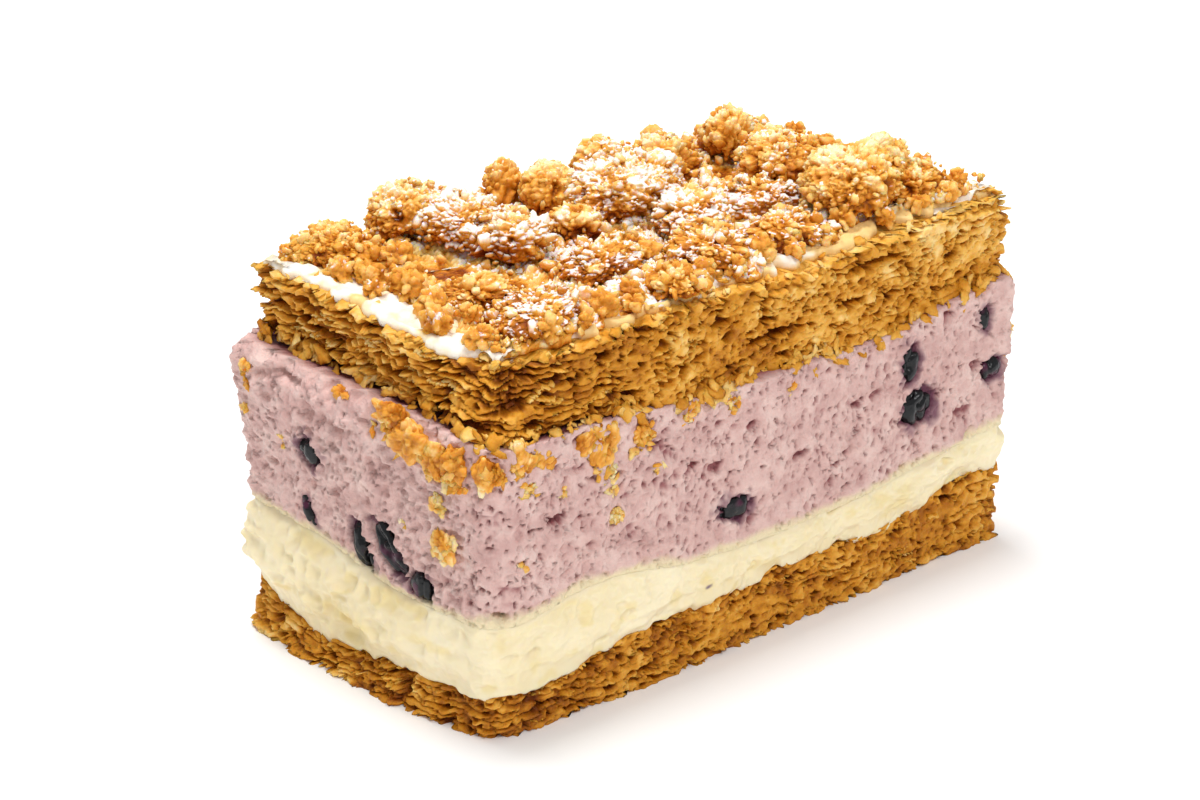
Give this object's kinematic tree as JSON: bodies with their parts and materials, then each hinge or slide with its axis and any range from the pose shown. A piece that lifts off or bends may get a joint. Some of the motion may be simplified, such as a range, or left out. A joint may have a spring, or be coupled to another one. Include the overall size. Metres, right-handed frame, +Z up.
{
  "type": "mille feuille slice",
  "caption": "Oblong slice of layered pastry: flaky base, pale vanilla cream, thick berry mousse with berries, flaky lid, icing and a heap of crumbs.",
  "frame": {"origin": "centre of the flat underside, on the surface that the slice stands on", "axes": "+X along the slice's length, away from the short cut face; -Y out of the long cut face; +Z up"},
  "size_m": [0.1102, 0.0579, 0.0692],
  "materials": {
    "pastry": "baked golden brown, matte, flaky",
    "vanilla_cream": "pale yellow, smooth, faint sheen",
    "berry_mousse": "dusty lilac pink, soft, finely pitted",
    "icing": "off-white, soft satin",
    "crumbs": "golden, granular, dusted with icing sugar",
    "berry": "dark purple skin, moist gloss"
  },
  "bodies": {
    "root": {"base_pastry": "pastry", "vanilla_cream": "vanilla_cream", "berry_mousse": "berry_mousse", "lid_pastry": "pastry", "icing_layer": "icing", "crumb_topping": "crumbs", "berry_left_upper": "berry", "berry_left_sliver": "berry", "berry_left_skin": "berry", "berry_left_fold": "berry", "berry_left_tip": "berry", "berry_front_low": "berry", "berry_front_upper": "berry", "berry_front_lower": "berry", "berry_corner": "berry", "berry_edge": "berry", "berry_end_low": "berry", "berry_end_upper": "berry", "berry_back_left": "berry", "berry_back_right": "berry", "berry_back_small": "berry"}
  },
  "joints": []
}
